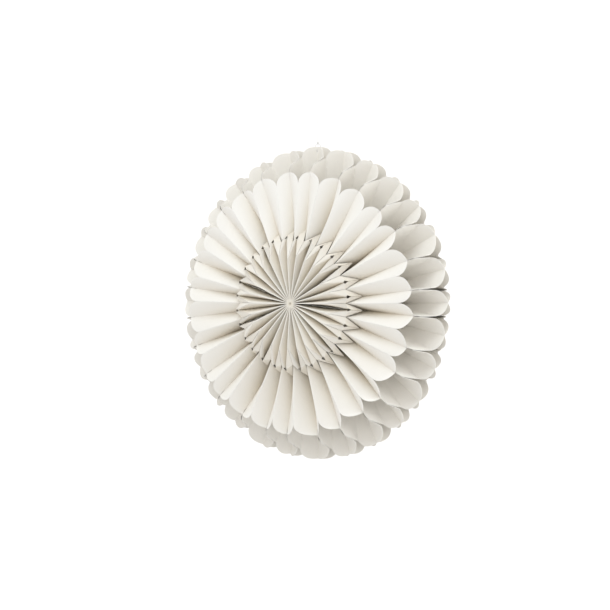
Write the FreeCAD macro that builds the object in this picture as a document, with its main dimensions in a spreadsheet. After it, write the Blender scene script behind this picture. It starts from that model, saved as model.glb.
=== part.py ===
import FreeCAD, Part

import math
import os

# Hanging paper flower: a ring of folded paper pockets bound along one spine, on a thread.
# +Z up, the spine lies along Y and the crown with the small holes faces -Y.
# The origin is on the spine, halfway between the front and the rear. Millimetres.

os.makedirs("parts", exist_ok=True)
doc = FreeCAD.newDocument("paper_flower")
sheet = doc.addObject("Spreadsheet::Sheet", "Sizes")

SIZES = [
    # the ring of pockets
    ("pocket_count", 28),
    ("flower_radius", 150.0),         # spine to the outer petals' crease tips
    ("front_tip_radius", 127.0),      # spine to the front petals' valley tips
    ("notch_radius", 114.0),          # spine to the end of a front petal's ridge
    ("spine_half_length", 50.0),      # half the spine, so the depth at the very centre
    ("hub_radius", 4.0),              # the pockets' inner edge, where the paper is packed solid
    ("cell_radius", 10.0),            # where the leaves part and a pocket becomes hollow
    ("leaf_thickness", 0.4),
    ("pocket_gap", 0.3),              # between neighbouring pockets, at the glued creases
    # the crown round the spine: how far out, and how far behind (+) or before (-) the spine's end
    ("crown_peak_radius", 43.5),
    ("crown_peak_recess", -4.8),
    ("crown_edge_radius", 59.0),
    ("crown_edge_recess", 4.8),
    ("glue_start_recess", 2.0),
    ("glue_crown_radius", 62.0),
    ("glue_crown_recess", 9.0),
    # the petals behind it
    ("petal_base_radius", 69.5),
    ("petal_base_recess", 18.1),
    ("ridge_end_recess", 14.6),
    ("valley_end_recess", 20.0),
    ("front_lobe_fullness", 0.84),    # share of a lobe's rise reached at half its width
    ("outer_lobe_fullness", 0.88),
    # the thread and its two ties
    ("thread_radius", 0.2),
    ("hole_radius", 1.2),
    ("hole_inset", 4.5),              # hole centre to crease tip
    ("tie_radius", 3.4),
    ("knot_radius", 0.9),
    ("thread_length", 148.0),
    ("loop_radius", 10.0),
]
for row, (alias, value) in enumerate(SIZES, start=1):
    sheet.set(f"A{row}", alias)
    sheet.set(f"B{row}", str(value))
    sheet.setAlias(f"B{row}", alias)
doc.recompute()


def size(alias):
    return float(sheet.get(alias))


POCKETS = int(size("pocket_count"))
PITCH = 360.0 / POCKETS
HALF_TAN = math.tan(math.radians(PITCH / 2.0))
HALF_COS = math.cos(math.radians(PITCH / 2.0))
LEAF = size("leaf_thickness")
SPINE = size("spine_half_length")
PAST_RIM = size("flower_radius") + 10.0     # the folded band runs on past the rim before it is cut
CLEAR = 5.0                                 # how far a cutting shape reaches past what it cuts


# ---- one pocket, built upright: its middle plane is x = 0 and its petals point to +Z ----

def along(points, radius):
    """Depth on a line of folds at a radius: straight between the given (radius, recess) points."""
    points = sorted(points)
    for (r0, d0), (r1, d1) in zip(points, points[1:]):
        if radius <= r1 or (r1, d1) == points[-1]:
            return d0 + (d1 - d0) * (radius - r0) / (r1 - r0) - SPINE


RIDGE = [
    (size("hub_radius"), 0.0),
    (size("crown_peak_radius"), size("crown_peak_recess")),
    (size("crown_edge_radius"), size("crown_edge_recess")),
    (size("notch_radius"), size("ridge_end_recess")),
    (PAST_RIM, size("ridge_end_recess")),
]
GLUE = [
    (size("hub_radius"), size("glue_start_recess")),
    (size("glue_crown_radius"), size("glue_crown_recess")),
    (size("petal_base_radius"), size("petal_base_recess")),
    (size("front_tip_radius"), size("valley_end_recess")),
]
BREAKS = sorted({r for r, _ in RIDGE[:-1] + GLUE[:-1]})


def leaf_lines(radius):
    """Half width, ridge depth and glue depth of the folded band at a radius."""
    half = radius * HALF_TAN - size("pocket_gap") / 2.0
    return half, along(RIDGE, radius), along(GLUE, radius)


def glue_half(half):
    """Half the two leaves' thickness where they are glued, never more than the pocket is wide."""
    return min(LEAF, 0.6 * half)


def ring_section(radius):
    """Outline of the whole band: front edge, glue line, mid crease, glue line, rear edge."""
    half, ridge, glue = leaf_lines(radius)
    waist = glue_half(half)
    side = [(half, ridge), (waist, glue), (half, 0.0), (waist, -glue), (half, -ridge)]
    return side + [(-x, y) for x, y in reversed(side)]


def mouth_section(radius):
    """The open V between the two leaves in front of the glue line."""
    half, ridge, glue = leaf_lines(radius)
    wall = LEAF * math.hypot(1.0, half / (glue - ridge))
    inner = half - wall
    waist = glue_half(half)
    bottom = glue - (wall - waist) * (glue - ridge) / (half - waist)
    edge = [(inner, ridge), (inner, ridge - CLEAR)]
    return [(0.0, bottom)] + edge + [(-x, y) for x, y in reversed(edge)]


def cell_section(radius):
    """The closed diamond between the two glue lines."""
    half, _, glue = leaf_lines(radius)
    wall = LEAF * math.hypot(1.0, half / glue)
    waist = glue_half(half)
    tip = glue + (wall - waist) * abs(glue) / (half - waist)
    return [(0.0, tip), (half - wall, 0.0), (0.0, -tip), (wall - half, 0.0)]


def triangle(*corners):
    return Part.Face(Part.makePolygon([*corners, corners[0]]))


def band(section, start):
    """A solid with flat facets through one section outline, from a radius to past the rim."""
    radii = [start] + [r for r in BREAKS if r > start + 1.0] + [PAST_RIM]
    rings = [[FreeCAD.Vector(x, y, radius) for x, y in section(radius)] for radius in radii]
    count = len(rings[0])
    faces = [Part.Face(Part.makePolygon([*ring, ring[0]])) for ring in (rings[0], rings[-1])]
    for low, high in zip(rings, rings[1:]):
        for i in range(count):
            j = (i + 1) % count
            if 2 * i < count:
                faces += [triangle(low[i], low[j], high[j]), triangle(low[i], high[j], high[i])]
            else:
                faces += [triangle(low[i], low[j], high[i]), triangle(low[j], high[j], high[i])]
    solid = Part.Solid(Part.Shell(faces))
    if solid.Volume < 0.0:
        solid.reverse()
    return solid


def lobe(low, high, fullness):
    """One rounded lobe of the rim, as an arc from (radius, depth) to (radius, depth)."""
    middle = (low[0] + fullness * (high[0] - low[0]), (low[1] + high[1]) / 2.0)
    points = [FreeCAD.Vector(0.0, depth, radius) for radius, depth in (low, middle, high)]
    return Part.Arc(*points).toShape()


def rim_cut(reach):
    """The petals' outline seen along the leaves, as a solid that is kept."""
    notch = size("notch_radius") * HALF_COS
    tip = size("front_tip_radius")
    crease = size("flower_radius") * HALF_COS
    front_low = (notch, along(RIDGE, notch))
    front_high = (tip, along(GLUE, tip))
    edges = [
        lobe(front_low, front_high, size("front_lobe_fullness")),
        lobe(front_high, (crease, 0.0), size("outer_lobe_fullness")),
    ]
    mirror = FreeCAD.Matrix()
    mirror.scale(1.0, -1.0, 1.0)
    edges += [edge.transformGeometry(mirror) for edge in edges[::-1]]
    depth = 2.0 * SPINE
    corners = [
        FreeCAD.Vector(0.0, front_low[1], notch),
        FreeCAD.Vector(0.0, -depth, notch),
        FreeCAD.Vector(0.0, -depth, 0.0),
        FreeCAD.Vector(0.0, depth, 0.0),
        FreeCAD.Vector(0.0, depth, notch),
        FreeCAD.Vector(0.0, -front_low[1], notch),
    ]
    edges += Part.makePolygon(corners).Edges
    wire = Part.Wire(Part.__sortEdges__(edges))
    face = Part.Face(wire)
    face.translate(FreeCAD.Vector(-reach, 0.0, 0.0))
    return face.extrude(FreeCAD.Vector(2.0 * reach, 0.0, 0.0))


def upright_pocket():
    """Two leaves glued to each other along two lines, open at the front, the rear and the rim."""
    whole = band(ring_section, size("hub_radius"))
    mouth = band(mouth_section, size("cell_radius"))
    rear_mouth = mouth.mirror(FreeCAD.Vector(), FreeCAD.Vector(0.0, 1.0, 0.0))
    cell = band(cell_section, size("cell_radius"))
    hollow = whole.cut(mouth).cut(rear_mouth).cut(cell)
    return hollow.common(rim_cut(PAST_RIM * HALF_TAN + CLEAR)).Solids[0]


def thread_hole():
    """The punched hole at the top, through the creases of the two pockets beside it."""
    width = size("tie_radius")
    start = FreeCAD.Vector(-width, 0.0, size("flower_radius") - size("hole_inset"))
    return Part.makeCylinder(size("hole_radius"), 2.0 * width, start, FreeCAD.Vector(1, 0, 0))


def add_pockets():
    upright = upright_pocket()
    hole = thread_hole()
    for number in range(1, POCKETS + 1):
        turn = (number - 0.5) * PITCH
        placement = FreeCAD.Placement(FreeCAD.Vector(), FreeCAD.Rotation(FreeCAD.Vector(0, 1, 0), turn))
        shape = upright.copy()
        if number in (1, POCKETS):
            local_hole = hole.copy()
            local_hole.Placement = placement.inverse()
            shape = shape.cut(local_hole)
        name = f"petal_pocket_{number:02d}"
        pocket = doc.addObject("Part::Feature", name)
        pocket.Label = name
        pocket.Shape = shape
        pocket.Placement = placement


# ---- the thread: a tie through the hole, a knot, the taut run, a knot and a hanging loop ----

TIE_HEIGHT = "Sizes.flower_radius - Sizes.hole_inset + Sizes.tie_radius"
KNOT_HEIGHT = TIE_HEIGHT + " + Sizes.tie_radius + Sizes.thread_radius + Sizes.knot_radius"
THREAD_FOOT = KNOT_HEIGHT + " + Sizes.knot_radius"
TOP_KNOT_HEIGHT = THREAD_FOOT + " + Sizes.thread_length + Sizes.knot_radius"
LOOP_HEIGHT = TOP_KNOT_HEIGHT + " + Sizes.knot_radius + Sizes.thread_radius + Sizes.loop_radius"


def add_ring(name, radius_alias, height):
    """A closed ring of thread standing in the XZ plane."""
    ring = doc.addObject("Part::Torus", name)
    ring.Label = name
    ring.setExpression("Radius1", f"Sizes.{radius_alias}")
    ring.setExpression("Radius2", "Sizes.thread_radius")
    ring.Placement.Rotation = FreeCAD.Rotation(FreeCAD.Vector(1, 0, 0), 90)
    ring.setExpression("Placement.Base.z", height)


def add_knot(name, height):
    knot = doc.addObject("Part::Sphere", name)
    knot.Label = name
    knot.setExpression("Radius", "Sizes.knot_radius")
    knot.setExpression("Placement.Base.z", height)


def add_thread(name):
    thread = doc.addObject("Part::Cylinder", name)
    thread.Label = name
    thread.setExpression("Radius", "Sizes.thread_radius")
    thread.setExpression("Height", "Sizes.thread_length")
    thread.setExpression("Placement.Base.z", THREAD_FOOT)


add_pockets()
add_ring("thread_tie", "tie_radius", TIE_HEIGHT)
add_knot("tie_knot", KNOT_HEIGHT)
add_thread("hanging_thread")
add_knot("loop_knot", TOP_KNOT_HEIGHT)
add_ring("hanging_loop", "loop_radius", LOOP_HEIGHT)
doc.recompute()

# ---- every object is checked before any file is written ----

pieces = [item for item in doc.Objects if item is not sheet]
for item in doc.Objects:
    if "Invalid" in item.State or "Error" in item.State:
        raise RuntimeError(f"{item.Label} did not recompute: {item.State}")
for piece in pieces:
    if piece.Shape.isNull() or not piece.Shape.isValid() or len(piece.Shape.Solids) != 1:
        raise RuntimeError(f"{piece.Label} is not one valid solid")
for piece in pieces:
    piece.Shape.exportStep(f"parts/{piece.Label}.step")
box = pieces[0].Shape.BoundBox
for piece in pieces[1:]:
    box.add(piece.Shape.BoundBox)
print("pieces", len(pieces), "box", box)
print("pocket volume", round(pieces[1].Shape.Volume, 1), "thread foot", pieces[-3].Placement.Base.z)
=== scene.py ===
"""A hanging flower of folded paper pockets, with a pleated crown, on a fine thread."""

import math
import random

import bpy
import numpy as np
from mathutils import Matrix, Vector


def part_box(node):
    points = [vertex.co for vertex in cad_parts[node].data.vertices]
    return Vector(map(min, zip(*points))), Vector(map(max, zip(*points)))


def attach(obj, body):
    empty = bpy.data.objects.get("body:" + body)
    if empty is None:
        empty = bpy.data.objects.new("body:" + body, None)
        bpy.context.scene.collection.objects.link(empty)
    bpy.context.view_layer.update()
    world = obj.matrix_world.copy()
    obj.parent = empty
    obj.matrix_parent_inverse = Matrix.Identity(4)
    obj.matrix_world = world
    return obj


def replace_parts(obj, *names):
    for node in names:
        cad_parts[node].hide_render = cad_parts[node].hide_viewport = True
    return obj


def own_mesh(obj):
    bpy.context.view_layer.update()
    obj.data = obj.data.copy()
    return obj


bl_info = {
    "name": "Paper pocket flower",
    "version": (1, 0, 0),
    "blender": (4, 5, 0),
    "location": "3D View > Sidebar > Paper flower",
    "description": "Folds the leaves, the crown and the thread of a hanging paper flower",
    "category": "Add Mesh",
}

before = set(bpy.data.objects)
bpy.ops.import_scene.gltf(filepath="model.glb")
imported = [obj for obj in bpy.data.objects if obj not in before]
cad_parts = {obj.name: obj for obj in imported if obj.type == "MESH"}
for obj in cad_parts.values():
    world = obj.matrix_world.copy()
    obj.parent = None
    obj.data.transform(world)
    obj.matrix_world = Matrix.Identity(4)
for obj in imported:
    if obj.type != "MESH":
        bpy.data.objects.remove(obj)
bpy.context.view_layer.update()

MM = 0.001
POCKETS = sum(name.startswith("petal_pocket_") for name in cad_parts)
PITCH = 2.0 * math.pi / POCKETS
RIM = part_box("petal_pocket_01")[1].z             # spine to the outer crease tips
PEAK = -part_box("petal_pocket_02")[0].y           # half the depth, at the crown's highest fold
EMERGE = 59.0 * MM                               # where the petals come out from under the crown
FOLDED_HALF = math.radians(0.2)                  # half a pocket's angle once the flower is shut


# ---- sizes and colours that a user would change ----

class FlowerLeaves(bpy.types.PropertyGroup):
    """The two glued leaves of each pocket, which make the petals."""
    notch: bpy.props.FloatProperty(
        name="Notch radius", description="Spine to the end of a front ridge",
        default=RIM - 36.0 * MM, unit="LENGTH")
    tip: bpy.props.FloatProperty(
        name="Front tip radius", description="Spine to the tip of a front petal's valley",
        default=RIM - 24.5 * MM, unit="LENGTH")
    spine: bpy.props.FloatProperty(
        name="Half spine", description="Half the length of the bound spine",
        default=PEAK - 4.8 * MM, unit="LENGTH")
    ridge_depth: bpy.props.FloatProperty(
        name="Ridge recess",
        description="How far a front ridge lies behind the spine's end, at the crown",
        default=6.6 * MM, unit="LENGTH")
    ridge_end: bpy.props.FloatProperty(
        name="Ridge end recess", description="The same at the ridge's outer end",
        default=14.6 * MM, unit="LENGTH")
    valley_depth: bpy.props.FloatProperty(
        name="Valley recess",
        description="How far a front valley lies behind the spine's end, at the crown",
        default=20.0 * MM, unit="LENGTH")
    valley_end: bpy.props.FloatProperty(
        name="Valley end recess", description="The same at a front petal's tip",
        default=18.5 * MM, unit="LENGTH")
    deep_valley: bpy.props.FloatProperty(
        name="Deep valley", description="Extra depth of every third valley",
        default=8.5 * MM, unit="LENGTH")
    flattening: bpy.props.FloatProperty(
        name="Flattening",
        description="How much the free ends of the outer petals open out, as a share",
        default=0.72, min=0.0, max=0.8)
    paper: bpy.props.FloatProperty(
        name="Paper thickness", description="Thickness of one leaf",
        default=0.35 * MM, unit="LENGTH")
    bow: bpy.props.FloatProperty(
        name="Bow", description="How far a strip of a leaf bulges between its folds",
        default=0.9 * MM, unit="LENGTH")
    unevenness: bpy.props.FloatProperty(
        name="Unevenness", description="How much hand folding shifts each fold, as a share",
        default=1.0, min=0.0, max=2.0)


class FlowerCrown(bpy.types.PropertyGroup):
    """The folded-over bottoms of the petals round the spine."""
    peak_radius: bpy.props.FloatProperty(
        name="Peak radius", description="Spine to the crown's highest fold",
        default=43.8 * MM, unit="LENGTH")
    edge_radius: bpy.props.FloatProperty(
        name="Edge radius", description="Spine to the crown's free edge on a ridge",
        default=58.9 * MM, unit="LENGTH")
    edge_depth: bpy.props.FloatProperty(
        name="Edge recess", description="How far that edge lies behind the spine's end",
        default=4.6 * MM, unit="LENGTH")
    hole_radius: bpy.props.FloatProperty(
        name="Hole radius", description="Spine to the small hole between two folds",
        default=62.3 * MM, unit="LENGTH")
    hole_depth: bpy.props.FloatProperty(
        name="Hole recess", description="How far that hole lies behind the spine's end",
        default=2.9 * MM, unit="LENGTH")
    foot_radius: bpy.props.FloatProperty(
        name="Foot radius", description="Spine to the crown's free edge in a valley",
        default=69.4 * MM, unit="LENGTH")
    foot_depth: bpy.props.FloatProperty(
        name="Foot recess", description="How far that foot lies behind the spine's end",
        default=18.1 * MM, unit="LENGTH")
    pleat_depth: bpy.props.FloatProperty(
        name="Pleat depth", description="Depth of the pleats round the spine",
        default=7.5 * MM, unit="LENGTH")


class FlowerLook(bpy.types.PropertyGroup):
    """Colours of the paper and the thread."""
    paper_colour: bpy.props.FloatVectorProperty(
        name="Paper", description="Colour of the paper", subtype="COLOR", size=3,
        default=(0.928, 0.917, 0.888), min=0.0, max=1.0)
    # painted shade: this colour darkens the paper where its folds lie in shade; the faint mottling also
    # tints towards it
    shade_colour: bpy.props.FloatVectorProperty(
        name="Deep folds", description="Colour of the paper deep in its folds", subtype="COLOR", size=3,
        default=(0.75, 0.672, 0.54), min=0.0, max=1.0)
    thread_colour: bpy.props.FloatVectorProperty(
        name="Thread", description="Colour of the thread", subtype="COLOR", size=3,
        default=(0.62, 0.62, 0.60), min=0.0, max=1.0)


# ---- material helpers ----

class Socket:
    """One output socket; arithmetic on it adds Math nodes to its tree."""

    def __init__(self, tree, socket):
        self.tree = tree
        self.socket = socket

    def math(self, operation, *others):
        node = self.tree.nodes.new("ShaderNodeMath")
        node.operation = operation
        for slot, value in zip(node.inputs, (self, *others)):
            if isinstance(value, Socket):
                self.tree.links.new(value.socket, slot)
            else:
                slot.default_value = value
        return Socket(self.tree, node.outputs[0])

    def constant(self, value):
        node = self.tree.nodes.new("ShaderNodeValue")
        node.outputs[0].default_value = value
        return Socket(self.tree, node.outputs[0])

    def __add__(self, other):
        return self.math("ADD", other)

    def __radd__(self, other):
        return self.math("ADD", other)

    def __sub__(self, other):
        return self.math("SUBTRACT", other)

    def __rsub__(self, other):
        return self.constant(other).math("SUBTRACT", self)

    def __mul__(self, other):
        return self.math("MULTIPLY", other)

    def __rmul__(self, other):
        return self.math("MULTIPLY", other)


class Finish:
    """A new material with a Principled shader, and one method that adds any other node."""

    def __init__(self, name, **constants):
        self.material = bpy.data.materials.new(name)
        self.material.use_nodes = True
        self.tree = self.material.node_tree
        self.shader = self.tree.nodes["Principled BSDF"]
        for socket, value in constants.items():
            self.shader.inputs[socket.replace("_", " ")].default_value = value

    def node(self, kind, output=0, settings=None, **inputs):
        node = self.tree.nodes.new(kind)
        for key, value in (settings or {}).items():
            setattr(node, key, value)
        for key, value in inputs.items():
            numbered = key[:1] == "i" and key[1:].isdigit()
            self.join(value, node.inputs[int(key[1:]) if numbered else key.replace("_", " ")])
        return Socket(self.tree, node.outputs[output])

    def join(self, value, slot):
        if isinstance(value, Socket):
            self.tree.links.new(value.socket, slot)
        else:
            slot.default_value = value

    def mix(self, factor, first, second):
        """A colour between two colours."""
        settings = {"data_type": "RGBA"}
        return self.node("ShaderNodeMix", 2, settings, i0=factor, i6=first, i7=second)

    def noise(self, scale, detail):
        return self.node("ShaderNodeTexNoise", 0, None, Vector=self.place(), Scale=scale, Detail=detail)

    def place(self):
        return self.node("ShaderNodeTexCoord", 3)

    def feed(self, **links):
        for key, value in links.items():
            self.join(value, self.shader.inputs[key.replace("_", " ")])
        return self.material


MOTTLE_SCALE = 38.0                  # blotches of the paper, in features per metre
CRUMPLE_SCALE = 160.0
FIBRE_SCALE = 1400.0
CRUMPLE_HEIGHT = 0.35 * MM
FIBRE_HEIGHT = 0.04 * MM
DARKEST_SHADE = (0.30, 0.265, 0.20, 1.0)   # painted shade at the bottom of the deepest folds
HIGHLIGHT_TINT = (0.95, 0.945, 0.92, 1.0)      # painted highlight along ridges, fold tops and cut edges
MOTTLE_AMOUNT = 0.12
SHADE_AMOUNT, SHADE_MOST = 0.75, 0.8
DARKEST_SHADE_FROM, DARKEST_SHADE_RISE = 0.8, 1.6            # value of the deep attribute where the darkest painted shade sets in, and how fast
HIGHLIGHT_AMOUNT = 0.6
DARK_PLY = 0.72                      # how dark the thread is between its plies
PLY_SCALE = 900.0


def paper_finish(look):
    """Matte uncoated paper: faint mottling, painted shade deep in the folds, and a painted highlight
    along ridges, fold tops and cut edges.
    """
    finish = Finish("folded_paper", Roughness=0.85, IOR=1.45)
    finish.shader.inputs["Specular IOR Level"].default_value = 0.25
    paper = (*look.paper_colour, 1.0)
    shade = (*look.shade_colour, 1.0)
    # painted shade: the deep attribute says how much shade is painted into the paper's colour
    depth = finish.node("ShaderNodeAttribute", 2, {"attribute_name": "deep"})
    # painted highlight: this attribute lightens the paper along ridges, fold tops and cut edges
    painted_highlight = finish.node("ShaderNodeAttribute", 2, {"attribute_name": "painted_highlight"})
    mottle = finish.noise(MOTTLE_SCALE, 4.0)
    fibre = finish.noise(FIBRE_SCALE, 2.0)
    crumple = finish.noise(CRUMPLE_SCALE, 3.0)
    darkest_shade = (depth - DARKEST_SHADE_FROM).math("MULTIPLY", DARKEST_SHADE_RISE).math("MAXIMUM", 0.0)
    base = finish.mix(mottle * MOTTLE_AMOUNT, paper, shade)
    # painted shade, and the darkest painted shade where the attribute is highest
    base = finish.mix((depth * SHADE_AMOUNT).math("MINIMUM", SHADE_MOST), base, shade)
    base = finish.mix(darkest_shade, base, DARKEST_SHADE)
    # painted highlight on ridges, fold tops and cut edges
    base = finish.mix(painted_highlight * HIGHLIGHT_AMOUNT, base, HIGHLIGHT_TINT)
    height = fibre * FIBRE_HEIGHT + crumple * CRUMPLE_HEIGHT
    bump = finish.node("ShaderNodeBump", 0, None, Height=height, Strength=0.6, Distance=1.0)
    return finish.feed(Base_Color=base, Roughness=0.78 + fibre * 0.12, Normal=bump)


def thread_finish(look):
    """Fine spun thread with its ply lines."""
    finish = Finish("spun_thread", Roughness=0.6)
    ply = finish.node(
        "ShaderNodeTexWave", 1, {"bands_direction": "DIAGONAL"}, Vector=finish.place(),
        Scale=PLY_SCALE, Distortion=0.4)
    light = (*look.thread_colour, 1.0)
    dark = tuple(DARK_PLY * c for c in look.thread_colour) + (1.0,)
    return finish.feed(Base_Color=finish.mix(ply, dark, light), Roughness=0.5 + ply * 0.2)


# ---- folding: every point is given by angle from the top, radius from the spine and depth ----

def at(angle, radius, depth):
    return np.array([radius * math.sin(angle), depth, radius * math.cos(angle)])


def lobe(share, fullness):
    """Height of a rounded lobe, 0 at its start and 1 at its top."""
    return (1.0 - (1.0 - share) ** fullness) ** (1.0 / fullness)


def eased(value):
    """0 below 0, 1 above 1 and a smooth rise between."""
    value = min(1.0, max(0.0, value))
    return value * value * (3.0 - 2.0 * value)


class Folds:
    """Where hand folding put each crease: one value for each ridge plane or each valley plane."""

    SEED = 28
    # the least and the most that a fold strays from the even flower
    RIDGE_TURN = (-1.2, 1.2)         # degrees
    VALLEY_TURN = (-1.0, 1.0)
    RIDGE_SHIFT = (-0.55, 0.55)      # millimetres
    VALLEY_SHIFT = (-1.5, 1.5)
    END_SHIFT = (-2.6, 2.0)
    DIP = (0.4, 2.2)
    PEAK_SHIFT = (-2.2, 2.2)
    LENGTH = (-0.011, 0.006)         # shares of a petal's reach
    REACH = (0.0, 0.008)
    NOTCH = (-0.022, 0.018)
    # what petals on the right lose of their reach, as shares
    RIGHT_TIP = 0.010
    RIGHT_REAR_TIP = 0.075
    RIGHT_CREASE = 0.030
    RIGHT_NOTCH = 0.03
    LOW_RISE = 7.0                   # millimetres that the lowest petals' ridge ends stand higher
    DEEP_EVERY = 3                   # every third valley is folded deeper
    FIRST_DEEP = 1

    def __init__(self, leaves):
        draw = random.Random(self.SEED)
        amount = leaves.unevenness
        planes = POCKETS + 1

        def strays(bounds, count, unit=1.0):
            return [amount * draw.uniform(*bounds) * unit for _ in range(count)]

        self.ridge = [j * PITCH for j in range(planes)]
        for j in range(1, POCKETS):
            if j != POCKETS // 2:
                self.ridge[j] += amount * math.radians(draw.uniform(*self.RIDGE_TURN))
        self.ridge_shift = strays(self.RIDGE_SHIFT, planes, MM)
        self.ridge_shift[POCKETS] = self.ridge_shift[0]
        self.valley_shift = strays(self.VALLEY_SHIFT, POCKETS, MM)
        right = [amount * max(0.0, math.sin(j * PITCH)) ** 2 for j in range(planes)]
        self.length = [1.0 + stray - self.RIGHT_TIP * right[k]
                       for k, stray in enumerate(strays(self.LENGTH, POCKETS))]
        self.rear_length = [share - self.RIGHT_REAR_TIP * max(0.0, math.sin((k + 0.5) * PITCH)) ** 2
                            for k, share in enumerate(self.length)]
        self.reach = [1.0 - self.RIGHT_CREASE * right[j] - stray
                      for j, stray in enumerate(strays(self.REACH, planes))]
        self.reach[0] = self.reach[POCKETS] = 1.0
        self.low = [0.5 - 0.5 * math.cos(j * PITCH) for j in range(planes)]
        self.end_shift = [stray - amount * self.LOW_RISE * self.low[j] ** 2 * MM
                          for j, stray in enumerate(strays(self.END_SHIFT, POCKETS, MM))]
        self.end_shift.append(self.end_shift[0])
        self.dip = [0.0, *strays(self.DIP, POCKETS - 1, MM), 0.0]
        self.notch = [1.0 + stray - self.RIGHT_NOTCH * right[j]
                      for j, stray in enumerate(strays(self.NOTCH, planes))]
        self.notch[POCKETS] = self.notch[0]
        self.peak = strays(self.PEAK_SHIFT, planes, MM)
        self.peak[POCKETS] = self.peak[0]
        self.valley = []
        for k in range(POCKETS):
            middle = 0.5 * (self.ridge[k] + self.ridge[k + 1])
            self.valley.append(middle + amount * math.radians(draw.uniform(*self.VALLEY_TURN)))
        self.deep = [k % self.DEEP_EVERY == self.FIRST_DEEP for k in range(POCKETS)]


# steps of a leaf's mesh: across the front strip, across the outer strip and outward
FRONT_STEPS = 9
OUTER_STEPS = 12
RADIAL_STEPS = 32
SPINE_RADIUS = 3.2 * MM              # where the leaves leave the spine
RIM_CLEARANCE = 0.3 * MM             # crease tips to the rim
RIDGE_OVERLAP = 0.03 * MM            # how far neighbouring leaves press together along a ridge
RIDGE_RUN = 1.3                      # a ridge's slope ends at this share of the way to its notch
FRONT_FULLNESS = 2.05                # roundness of a front petal's end
OUTER_FULLNESS = 3.1                 # roundness of an outer petal's end
FRONT_BEND = 1.12                    # above 1 a front strip is flatter beside its ridge
LOW_VALLEY = 4.0 * MM                # how much deeper the lowest petals' valleys are
DEEP_FADE = 0.75                     # share of a deep valley's extra depth that is gone at its tip
SHIFT_FADE = 0.5                     # share of a valley's own shift that is gone at its tip
DIP_SHARPNESS = 5                    # a high power keeps the dip close to the crease
OPENS_AT_CREASE = 82.0 * MM          # radius where an outer petal starts to open out, at its crease
OPENS_LATER = 45.0 * MM              # how much farther out that is beside the valley
OPENING_LENGTH = 28.0 * MM           # over which it opens
OPENING_SHARPNESS = 5
HIDDEN_RADIUS = 66.0 * MM            # leaves inside this radius lie under the crown
HIDDEN_FADE = 6.0 * MM
EDGE_WIDTH, EDGE_HIGHLIGHT = 1.2 * MM, 0.5            # width and strength of the painted highlight on the cut edge
RIDGE_HIGHLIGHT = 14.0                    # a front strip gets a painted highlight over one part in this of its width, beside its ridge
# painted shade on the paper, from 0 to 1
SHADE_START, SHADE_FADE = 1.2, 1.3               # at the spine, and lost on the way to the rim
VALLEY_SHADE, DEEP_VALLEY_SHADE = 1.1, 1.9
HIDDEN_SHADE = 0.4
LOW_SHADE = 0.5                      # the lowest petals get painted shade all over
OUTER_SHADE, REAR_SHADE = 0.22, 0.34
INNER_SHADE = 0.04                   # what the outer petals have more, close to the front petals
INNER_RADIUS, INNER_FADE = 96.0 * MM, 38.0 * MM


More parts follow.
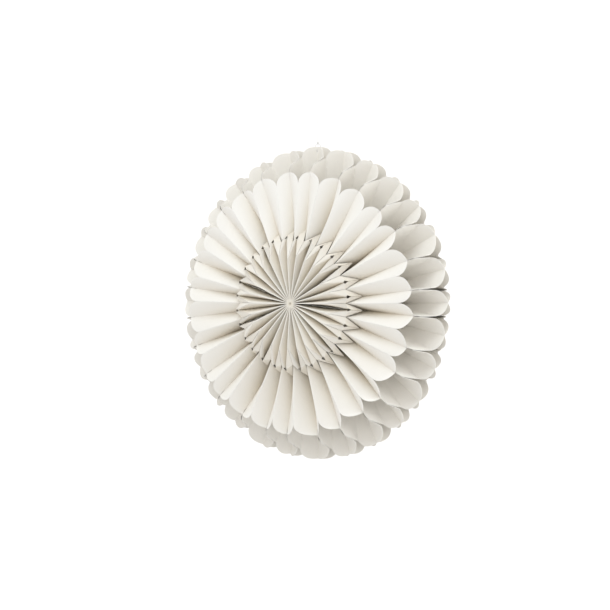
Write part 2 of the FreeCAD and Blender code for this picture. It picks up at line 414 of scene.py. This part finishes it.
def leaf_grid(leaves, folds, k, side, end):
    """One half of a leaf, from the front (end -1) or rear (end +1) ridge to the mid crease.

    Columns run across the zigzag and rows run out along the folds."""
    ridge_index = k if side < 0 else k + 1
    ridge_angle = folds.ridge[ridge_index]
    valley_angle = folds.valley[k]
    notch = leaves.notch * folds.notch[ridge_index]
    tip = leaves.tip * (folds.length if end < 0 else folds.rear_length)[k]
    crease = (RIM - RIM_CLEARANCE) * folds.reach[ridge_index]
    half_leaf = 0.5 * leaves.paper

    def ridge_y(radius):
        outward = min(RIDGE_RUN, max(0.0, (radius - EMERGE) / (leaves.notch - EMERGE)))
        fall = leaves.ridge_end + folds.end_shift[ridge_index] - leaves.ridge_depth
        recess = leaves.ridge_depth + fall * outward
        return leaves.spine - recess + folds.ridge_shift[ridge_index]

    def valley_y(radius):
        outward = min(1.0, max(0.0, (radius - EMERGE) / (leaves.tip - EMERGE)))
        extra = leaves.deep_valley * (1.0 - DEEP_FADE * outward) if folds.deep[k] else 0.0
        extra += LOW_VALLEY * folds.low[ridge_index] * (1.0 - outward)
        recess = leaves.valley_depth + (leaves.valley_end - leaves.valley_depth) * outward
        return leaves.spine - recess - extra + folds.valley_shift[k] * (1.0 - SHIFT_FADE * outward)

    columns = []
    for i in range(FRONT_STEPS + 1):
        share = 1.0 - math.cos(0.5 * math.pi * i / FRONT_STEPS)
        columns.append(("front", share, notch + (tip - notch) * lobe(share, FRONT_FULLNESS)))
    for i in range(1, OUTER_STEPS + 1):
        share = 1.0 - math.cos(0.5 * math.pi * i / OUTER_STEPS)
        dip = folds.dip[ridge_index] * share ** DIP_SHARPNESS
        columns.append(("outer", share, tip + (crease - tip) * lobe(share, OUTER_FULLNESS) - dip))

    points, deep, painted_highlight = [], [], []
    for part, share, reach in columns:
        for j in range(RADIAL_STEPS + 1):
            radius = SPINE_RADIUS + (reach - SPINE_RADIUS) * j / RADIAL_STEPS
            hidden = 1.0 - eased((radius - HIDDEN_RADIUS) / HIDDEN_FADE)
            along = radius / RIM
            bulge = leaves.bow * math.sin(math.pi * share) * along
            depth = ridge_y(radius) - valley_y(radius)
            turned = depth / math.hypot(depth, radius * math.tan(0.5 * PITCH))
            to_ridge = ridge_angle - side * (half_leaf * turned - RIDGE_OVERLAP) / radius
            to_valley = valley_angle + side * half_leaf / radius
            if part == "front":
                angle = to_ridge + (to_valley - to_ridge) * share
                depth = ridge_y(radius) - depth * share ** FRONT_BEND + bulge
                # painted shade: darker towards the valley and the spine, under the crown and on the
                # lowest petals
                near = max(0.0, SHADE_START - SHADE_FADE * along)
                in_valley = DEEP_VALLEY_SHADE if folds.deep[k] else VALLEY_SHADE
                shadow = share ** 2 * near * in_valley + HIDDEN_SHADE * share * hidden
                shadow += LOW_SHADE * near * folds.low[ridge_index]
                # painted highlight beside the ridge
                highlight = max(0.0, 1.0 - share * RIDGE_HIGHLIGHT) * (1.0 - hidden)
            else:
                angle = to_valley + (to_ridge - to_valley) * share
                from_crease = 1.0 - share
                opens_at = OPENS_AT_CREASE + OPENS_LATER * from_crease ** OPENING_SHARPNESS
                opening = eased((radius - opens_at) / OPENING_LENGTH)
                depth = valley_y(radius) * from_crease * (1.0 - leaves.flattening * opening) + bulge
                # painted shade on the outer and rear petals, more of it close to the front petals
                shadow = OUTER_SHADE if end < 0 else REAR_SHADE
                shadow += INNER_SHADE * (1.0 - eased((radius - INNER_RADIUS) / INNER_FADE))
                highlight = 0.0
            # painted highlight along the cut edge
            edge = max(0.0, (radius - reach + EDGE_WIDTH) / EDGE_WIDTH)
            points.append(at(angle, radius, end * depth))
            deep.append(min(1.0, shadow))
            painted_highlight.append(min(1.0, highlight + EDGE_HIGHLIGHT * edge))
    return len(columns), RADIAL_STEPS + 1, points, deep, painted_highlight


def grid_faces(columns, rows, flip):
    """Quads over a grid of points that is stored column by column."""
    faces = []
    for c in range(columns - 1):
        for r in range(rows - 1):
            a = c * rows + r
            quad = (a, a + 1, a + rows + 1, a + rows)
            faces.append(quad[::-1] if flip else quad)
    return faces


CROWN_ROWS, CROWN_COLUMNS = 12, 4
ROW_CROWDING = 1.4                   # above 1 the rows lie closer together towards the spine
CROWN_CORE = 0.35 * MM               # the pleats start this far from the spine's middle
CROWN_HOLE = 1.7 * MM                # radius of the small hole between two folds
HOLE_SIDE, HOLE_LENGTH = 0.85, 1.4   # its half width and its outward half, as shares of that radius
HOLE_FALL = 2.6 * MM                 # how much deeper its outer end lies
HOLE_DROP, DEEP_HOLE_DROP = 0.3 * MM, 3.0 * MM   # the same for its inner end
PEAK_SINK, EDGE_SHARE = 0.25, 0.5    # how much a shifted peak sinks, and how far the edge goes along
DEEP_PLEAT = 11.0 * MM               # extra depth of every third pleat
DEEP_GAP = 0.9 * MM                  # how far every third pleat gapes
SEAM_DROP = 0.5 * MM                 # a pleat's bottom starts this far behind the spine's end
PLEAT_START = 0.035                  # share of the way out over which a pleat reaches its depth
HEART, HEART_SHADE = 0.05, 0.75      # share of the way out over which painted shade darkens the crown round the spine
# painted shade over the whole crown
CROWN_SHADE = 0.44
CORNER_SHADES = [0.55, 0.5, 0.8, 0.55]           # painted shade at the edge, hole's side, hole's outer end and foot
PLEAT_SHADE, DEEP_PLEAT_SHADE, PLEAT_FADE = 0.85, 1.35, 0.35
PLEAT_HIGHLIGHT = 0.7                     # painted highlight on the folds' tops


def crown_sides(leaves, crown, folds, k, side, end):
    """The crown's folded facets on one side of a valley: pleat, cheek and foot."""
    ridge_index = k if side < 0 else k + 1
    half_leaf = 0.5 * leaves.paper
    ridge_angle = folds.ridge[ridge_index]
    valley_angle = folds.valley[k]
    shift = folds.peak[ridge_index]
    deep = folds.deep[k]

    def on_ridge(radius, depth):
        return at(ridge_angle - side * half_leaf / radius, radius, end * depth)

    def on_valley(radius, depth, gap=0.0):
        return at(valley_angle + side * (half_leaf + gap) / radius, radius, end * depth)

    spine = leaves.spine
    hole, hole_radius, hole_y = CROWN_HOLE, crown.hole_radius, spine - crown.hole_depth
    peak_radius = crown.peak_radius + shift
    peak = on_ridge(peak_radius, PEAK - PEAK_SINK * abs(shift))
    edge = on_ridge(crown.edge_radius + EDGE_SHARE * shift, spine - crown.edge_depth)
    hole_near = on_valley(hole_radius - hole, hole_y - (DEEP_HOLE_DROP if deep else HOLE_DROP))
    hole_side = on_valley(hole_radius, hole_y, HOLE_SIDE * hole)
    hole_far = on_valley(hole_radius + HOLE_LENGTH * hole, hole_y - HOLE_FALL)
    foot = on_valley(crown.foot_radius, spine - crown.foot_depth)
    pleat = crown.pleat_depth + (DEEP_PLEAT if deep else 0.0)
    gap = DEEP_GAP if deep else 0.0

    points, painted_shade, painted_highlight, faces = [], [], [], []
    for i in range(CROWN_ROWS + 1):
        share = (i / CROWN_ROWS) ** ROW_CROWDING
        top_radius = CROWN_CORE + (peak_radius - CROWN_CORE) * share
        top = on_ridge(top_radius, spine + (PEAK - spine) * share)
        low_radius = CROWN_CORE + (hole_radius - hole - CROWN_CORE) * share
        sink = pleat * (1.0 - math.exp(-share / PLEAT_START)) * (1.0 - share ** 3.0)
        low_depth = spine - SEAM_DROP - (crown.hole_depth + HOLE_DROP) * share - sink
        low = on_valley(low_radius, low_depth, gap * math.sin(math.pi * share))
        if i == CROWN_ROWS:
            top = peak
            low = hole_near
        # painted shade: the whole crown, more round the spine and down in the pleats
        shade = CROWN_SHADE + HEART_SHADE * math.exp(-share / HEART)
        in_pleat = (DEEP_PLEAT_SHADE if deep else PLEAT_SHADE) - PLEAT_FADE * share
        for c in range(CROWN_COLUMNS + 1):
            across = c / CROWN_COLUMNS
            points.append(top + (low - top) * across)
            painted_shade.append(shade + across ** 1.5 * in_pleat)
            # painted highlight on the folds' tops
            painted_highlight.append(max(0.0, 1.0 - across * 5.0) * PLEAT_HIGHLIGHT * eased(share * 3.0))
    row = CROWN_COLUMNS + 1
    for i in range(CROWN_ROWS):
        for c in range(CROWN_COLUMNS):
            a = i * row + c
            faces.append((a, a + 1, a + row + 1, a + row))
    last = CROWN_ROWS * row
    corner = len(points)
    points += [edge, hole_side, hole_far, foot]
    painted_shade += CORNER_SHADES
    painted_highlight += [0.0] * len(CORNER_SHADES)
    faces.append((*range(last, last + row), corner + 1, corner))
    faces.append((corner, corner + 1, corner + 2, corner + 3))
    return points, painted_shade, painted_highlight, faces


SEAM_STEPS = 12
SEAM_START, SEAM_LENGTH = 9.0 * MM, 47.0 * MM    # radius where a raised seam starts, and its run outward
SEAM_FOOT = 24.0 * MM                            # its two edges, measured back from the spine's end
SEAM_TOP, SEAM_RISE = 9.5 * MM, 3.0 * MM
SEAM_WAVE, SEAM_TURNS = 0.4 * MM, 2.4            # how far and how often it wavers from side to side
# painted shade and painted highlight on the raised seam
SEAM_SHADE, SEAM_HIGHLIGHT = 0.3, 0.8


def seam_strip(leaves, folds, k, end):
    """In every third pocket the glued seam stands up as a thin strip in the valley."""
    points = []
    for i in range(SEAM_STEPS + 1):
        radius = SEAM_START + SEAM_LENGTH * i / SEAM_STEPS
        angle = folds.valley[k] + SEAM_WAVE / radius * math.sin(SEAM_TURNS * i)
        for recess in (SEAM_FOOT, SEAM_TOP - SEAM_RISE * i / SEAM_STEPS):
            points.append(at(angle, radius, end * (leaves.spine - recess)))
    faces = [(2 * i, 2 * i + 1, 2 * i + 3, 2 * i + 2) for i in range(SEAM_STEPS)]
    return points, [SEAM_SHADE] * len(points), [SEAM_HIGHLIGHT] * len(points), faces


SHARP_FOLD = math.radians(28.0)      # folds sharper than this are drawn crisp


def apply_modifiers(piece):
    """Put the mesh that the piece's modifiers make in the place of its own."""
    bpy.context.view_layer.update()
    graph = bpy.context.evaluated_depsgraph_get()
    mesh = bpy.data.meshes.new_from_object(piece.evaluated_get(graph))
    piece.modifiers.clear()
    piece.data = mesh
    return mesh


def thick_sheet(name, points, faces, deep, painted_highlight, thickness, material):
    """A mesh of paper: the given sheet, thickened evenly, with crisp folds."""
    mesh = bpy.data.meshes.new(name)
    mesh.from_pydata([tuple(p) for p in points], [], faces)
    # the two attributes carry the painted shade and the painted highlight that the paper's colour reads
    for label, values in (("deep", deep), ("painted_highlight", painted_highlight)):
        layer = mesh.attributes.new(label, "FLOAT", "POINT")
        layer.data.foreach_set("value", np.array(values, np.float32))
    piece = bpy.data.objects.new(name, mesh)
    bpy.context.scene.collection.objects.link(piece)
    solid = piece.modifiers.new("paper", "SOLIDIFY")
    solid.thickness = thickness
    solid.offset = 0.0
    solid.use_even_offset = False
    solid_mesh = apply_modifiers(piece)
    solid_mesh.name = name
    solid_mesh.materials.append(material)
    solid_mesh.shade_smooth()
    solid_mesh.set_sharp_from_angle(angle=SHARP_FOLD)
    return piece


def pocket_piece(leaves, crown, folds, k, material):
    """Both leaves of one pocket with their share of the front and rear crowns."""
    points, deep, painted_highlight, faces = [], [], [], []

    def gather(part_points, part_deep, part_highlight, part_faces):
        offset = len(points)
        faces.extend(tuple(offset + index for index in face) for face in part_faces)
        points.extend(part_points)
        deep.extend(part_deep)
        painted_highlight.extend(part_highlight)

    for side in (-1, 1):
        for end in (-1, 1):
            columns, rows, *leaf = leaf_grid(leaves, folds, k, side, end)
            gather(*leaf, grid_faces(columns, rows, side * end < 0))
            *facets, crown_faces = crown_sides(leaves, crown, folds, k, side, end)
            gather(*facets, [face if side * end > 0 else face[::-1] for face in crown_faces])
    if folds.deep[k]:
        for end in (-1, 1):
            gather(*seam_strip(leaves, folds, k, end))
    return thick_sheet(f"folded_leaves_{k + 1:02d}", points, faces, deep, painted_highlight, leaves.paper, material)


PUNCH_RADIUS = 1.2 * MM
PUNCH_REACH = 6.0 * MM               # long enough to go through both pockets beside the hole
TIE_RADIUS = 0.2 * MM                # of the tie's own thread


def punch(piece, material):
    """Punch the round hole for the tie, just inside the top crease."""
    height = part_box("thread_tie")[0].z + TIE_RADIUS
    bpy.ops.mesh.primitive_cylinder_add(
        vertices=20, radius=PUNCH_RADIUS, depth=PUNCH_REACH, location=(0.0, 0.0, height),
        rotation=(0.0, 0.5 * math.pi, 0.0))
    cutter = bpy.context.object
    cutter.data.materials.append(material)
    cut = piece.modifiers.new("hole", "BOOLEAN")
    cut.operation = "DIFFERENCE"
    cut.solver = "EXACT"
    cut.use_self = True
    cut.object = cutter
    apply_modifiers(piece).set_sharp_from_angle(angle=SHARP_FOLD)
    bpy.data.objects.remove(cutter)


class PAPERFLOWER_OT_pockets(bpy.types.Operator):
    """Fold the leaves of every pocket, with the crown round the spine"""
    bl_idname = "paperflower.pockets"
    bl_label = "Fold the pockets"

    def execute(self, context):
        leaves = context.scene.flower_leaves
        crown = context.scene.flower_crown
        material = paper_finish(context.scene.flower_look)
        folds = Folds(leaves)
        for k in range(POCKETS):
            piece = pocket_piece(leaves, crown, folds, k, material)
            if k in (0, POCKETS - 1):
                punch(piece, material)
            node = f"petal_pocket_{k + 1:02d}"
            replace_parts(piece, node)
            if k in (0, POCKETS - 1):
                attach(piece, "flower_top")
                keep = math.tan(2.0 * FOLDED_HALF) / math.tan(PITCH)
                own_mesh(piece)
                continue
            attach(piece, f"pocket_{k + 1:02d}")
            middle = (k + 0.5) * PITCH
            keep = math.tan(FOLDED_HALF) / math.tan(0.5 * PITCH)
            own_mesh(piece)
        return {"FINISHED"}


# ---- the thread ----

def tube_curve(name, points, radius, material, cyclic=False):
    """A round thread along smooth bends through or near the given points."""
    curve = bpy.data.curves.new(name, "CURVE")
    curve.dimensions = "3D"
    curve.bevel_depth = radius
    curve.bevel_resolution = 4
    curve.use_fill_caps = True
    spline = curve.splines.new("NURBS")
    spline.points.add(len(points) - 1)
    for point, place in zip(spline.points, points):
        point.co = (*place, 1.0)
    if cyclic:
        spline.use_cyclic_u = True
    else:
        spline.order_u = 3
        spline.use_endpoint_u = True
    curve.materials.append(material)
    piece = bpy.data.objects.new(name, curve)
    bpy.context.scene.collection.objects.link(piece)
    return piece


KNOT_STEPS = 42
KNOT_WIDTH = 2.2                     # the knot's lobes are this many times as wide as it is deep
THREAD_SPAN = (0.1543, 0.3023)       # heights of the taut thread's two ends


def knot_curve(name, node, radius, material):
    """An overhand knot pulled tight, as large as the node it stands for."""
    low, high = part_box(node)
    middle = (low + high) / 2.0
    size = (high.z - low.z) / 2.0 - radius
    points = []
    for i in range(KNOT_STEPS):
        t = 2.0 * math.pi * i / KNOT_STEPS
        x = (math.sin(t) + 2.0 * math.sin(2.0 * t)) / 3.0
        z = (math.cos(t) - 2.0 * math.cos(2.0 * t)) / 3.0
        y = -math.sin(3.0 * t) / KNOT_WIDTH
        points.append((middle.x + size * x, middle.y + size * y, middle.z + size * z))
    piece = tube_curve(name, points, radius, material, cyclic=True)
    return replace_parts(piece, node)


class PAPERFLOWER_OT_thread(bpy.types.Operator):
    """Tie the thread: a loop through the rim hole, two knots, the taut run and the hanging loop"""
    bl_idname = "paperflower.thread"
    bl_label = "Tie the thread"

    def execute(self, context):
        material = thread_finish(context.scene.flower_look)
        low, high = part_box("hanging_thread")
        radius = (high.x - low.x) / 2.0
        foot, top = THREAD_SPAN
        route = [(0.0, 0.0, foot), (0.0, 0.0, 0.5 * (foot + top)), (0.0, 0.0, top)]
        thread = tube_curve("taut_thread", route, radius, material)
        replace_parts(thread, "hanging_thread")
        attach(thread, "thread")
        tie_knot = knot_curve("tie_knot_wraps", "tie_knot", radius, material)
        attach(tie_knot, "flower_top")
        loop_knot = knot_curve("loop_knot_wraps", "loop_knot", radius, material)
        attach(loop_knot, "top_knot")
        for node in ("thread_tie", "hanging_loop"):
            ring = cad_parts[node]
            ring.data.materials.clear()
            ring.data.materials.append(material)
        return {"FINISHED"}


# ---- floor, backdrop, light and camera ----

FLOOR = -1.05
WALL, WALL_TOP = 6.0, 5.0            # the backdrop's distance beyond the flower, and its height
SWEEP_HALF = 6.0                     # half the floor's width
SWEEP_BEND, SWEEP_STEPS = 0.5, 16    # where the floor turns up into the wall
FLOOR_GLOW, WALL_GLOW = 0.05, 0.44
GLOW_FROM, GLOW_TO = FLOOR + 0.01, FLOOR + 0.2   # heights between which the glow changes
STUDIO_WHITE = (0.8, 0.8, 0.8)
SKY, SKY_STRENGTH = (1.0, 0.98, 0.95, 1.0), 0.86
LIGHTS = (
    # name, place as the camera sees it (right, ahead, up), width, power, colour
    ("window", (-0.6, -1.3, 2.3), 1.8, 22.0, (0.87, 0.95, 1.0)),
    ("fill", (2.3, -0.45, 0.3), 1.6, 17.0, (0.93, 0.97, 1.0)),
)
CAMERA_AZIMUTH = math.radians(32.0)
CAMERA_DISTANCE = 4.5
CAMERA_RIGHT, CAMERA_UP = -0.0124, -0.0014       # where the lens points, from the flower's middle
CLIP_END = 50.0
FRAME_WIDTH = 0.5826                 # metres across the picture at the flower


def plain_finish(name, colour, low, high):
    """A plain pale surface that glows a little, more on the wall than on the floor."""
    finish = Finish(name, Roughness=0.9)
    grain = finish.noise(3.0, 2.0)
    light = (*colour, 1.0)
    dark = tuple(0.985 * c for c in colour) + (1.0,)
    height = finish.node("ShaderNodeSeparateXYZ", 2, None, Vector=finish.place())
    rise = finish.node("ShaderNodeMapRange", 0, {"interpolation_type": "SMOOTHSTEP"}, Value=height,
                       i1=GLOW_FROM, i2=GLOW_TO)
    glow = finish.mix(rise, (low, low, low, 1.0), (high, high, high, 1.0))
    finish.shader.inputs["Emission Strength"].default_value = 1.0
    return finish.feed(Base_Color=finish.mix(grain, dark, light), Emission_Color=glow)


def area_light(name, place, width, power, colour):
    """A round soft light that shines on the flower."""
    light = bpy.data.lights.new(name, "AREA")
    light.shape = "DISK"
    light.size = width
    light.energy = power
    light.color = colour
    lamp = bpy.data.objects.new(name, light)
    lamp.location = place
    lamp.rotation_euler = (-place).to_track_quat("-Z", "Y").to_euler()
    bpy.context.scene.collection.objects.link(lamp)


def seen_from_camera(right, ahead, up):
    """A place given in the camera's own directions, at the flower."""
    side = Vector((math.cos(CAMERA_AZIMUTH), math.sin(CAMERA_AZIMUTH), 0.0))
    front = Vector((-math.sin(CAMERA_AZIMUTH), math.cos(CAMERA_AZIMUTH), 0.0))
    return side * right + front * ahead + Vector((0.0, 0.0, up))


def sweep_mesh():
    """The floor, turning up into the backdrop in one smooth bend."""
    start = WALL - SWEEP_BEND
    profile = [(-SWEEP_HALF, FLOOR), (start, FLOOR)]
    for i in range(1, SWEEP_STEPS + 1):
        t = 0.5 * math.pi * i / SWEEP_STEPS
        profile.append((start + SWEEP_BEND * math.sin(t), FLOOR + SWEEP_BEND * (1.0 - math.cos(t))))
    profile.append((WALL, WALL_TOP))
    points = [seen_from_camera(right, ahead, up)
              for ahead, up in profile for right in (-SWEEP_HALF, SWEEP_HALF)]
    faces = [(2 * i, 2 * i + 1, 2 * i + 3, 2 * i + 2) for i in range(len(profile) - 1)]
    mesh = bpy.data.meshes.new("studio_sweep")
    mesh.from_pydata(points, [], faces)
    mesh.shade_smooth()
    return mesh


class PAPERFLOWER_OT_stage(bpy.types.Operator):
    """Set up the pale floor and backdrop, the soft lights and the camera"""
    bl_idname = "paperflower.stage"
    bl_label = "Set the stage"

    def execute(self, context):
        scene = context.scene
        sweep = bpy.data.objects.new("studio_sweep", sweep_mesh())
        sweep.data.materials.append(plain_finish("studio_white", STUDIO_WHITE, FLOOR_GLOW, WALL_GLOW))
        scene.collection.objects.link(sweep)

        world = bpy.data.worlds.new("studio")
        world.use_nodes = True
        background = world.node_tree.nodes["Background"]
        background.inputs["Color"].default_value = SKY
        background.inputs["Strength"].default_value = SKY_STRENGTH
        scene.world = world
        for name, place, *settings in LIGHTS:
            area_light(name, seen_from_camera(*place), *settings)

        camera = bpy.data.cameras.new("camera")
        camera.sensor_width = 36.0
        camera.lens = camera.sensor_width * CAMERA_DISTANCE / FRAME_WIDTH
        camera.clip_end = CLIP_END
        eye = bpy.data.objects.new("camera", camera)
        aim = seen_from_camera(CAMERA_RIGHT, 0.0, CAMERA_UP)
        eye.location = seen_from_camera(CAMERA_RIGHT, -CAMERA_DISTANCE, CAMERA_UP)
        eye.rotation_euler = (aim - eye.location).to_track_quat("-Z", "Y").to_euler()
        scene.collection.objects.link(eye)
        scene.camera = eye
        scene.view_settings.view_transform = "Standard"
        return {"FINISHED"}


class PAPERFLOWER_PT_panel(bpy.types.Panel):
    """Shows the flower's settings and a button for each operator"""
    bl_label = "Paper flower"
    bl_idname = "PAPERFLOWER_PT_panel"
    bl_space_type = "VIEW_3D"
    bl_region_type = "UI"
    bl_category = "Paper flower"

    def draw(self, context):
        layout = self.layout
        for group in ("flower_leaves", "flower_crown", "flower_look"):
            settings = getattr(context.scene, group)
            box = layout.box()
            for name in settings.__annotations__:
                box.prop(settings, name)
        for operator in OPERATORS:
            layout.operator(operator.bl_idname)


GROUPS = {"flower_leaves": FlowerLeaves, "flower_crown": FlowerCrown, "flower_look": FlowerLook}
OPERATORS = (PAPERFLOWER_OT_pockets, PAPERFLOWER_OT_thread, PAPERFLOWER_OT_stage)


def register():
    for kind in (*GROUPS.values(), *OPERATORS, PAPERFLOWER_PT_panel):
        bpy.utils.register_class(kind)
    for name, kind in GROUPS.items():
        setattr(bpy.types.Scene, name, bpy.props.PointerProperty(type=kind))


def unregister():
    for name in GROUPS:
        delattr(bpy.types.Scene, name)
    for kind in reversed((*GROUPS.values(), *OPERATORS, PAPERFLOWER_PT_panel)):
        bpy.utils.unregister_class(kind)


def main():
    register()
    bpy.ops.paperflower.pockets()
    bpy.ops.paperflower.thread()
    bpy.ops.paperflower.stage()


if __name__ == "__main__":
    main()
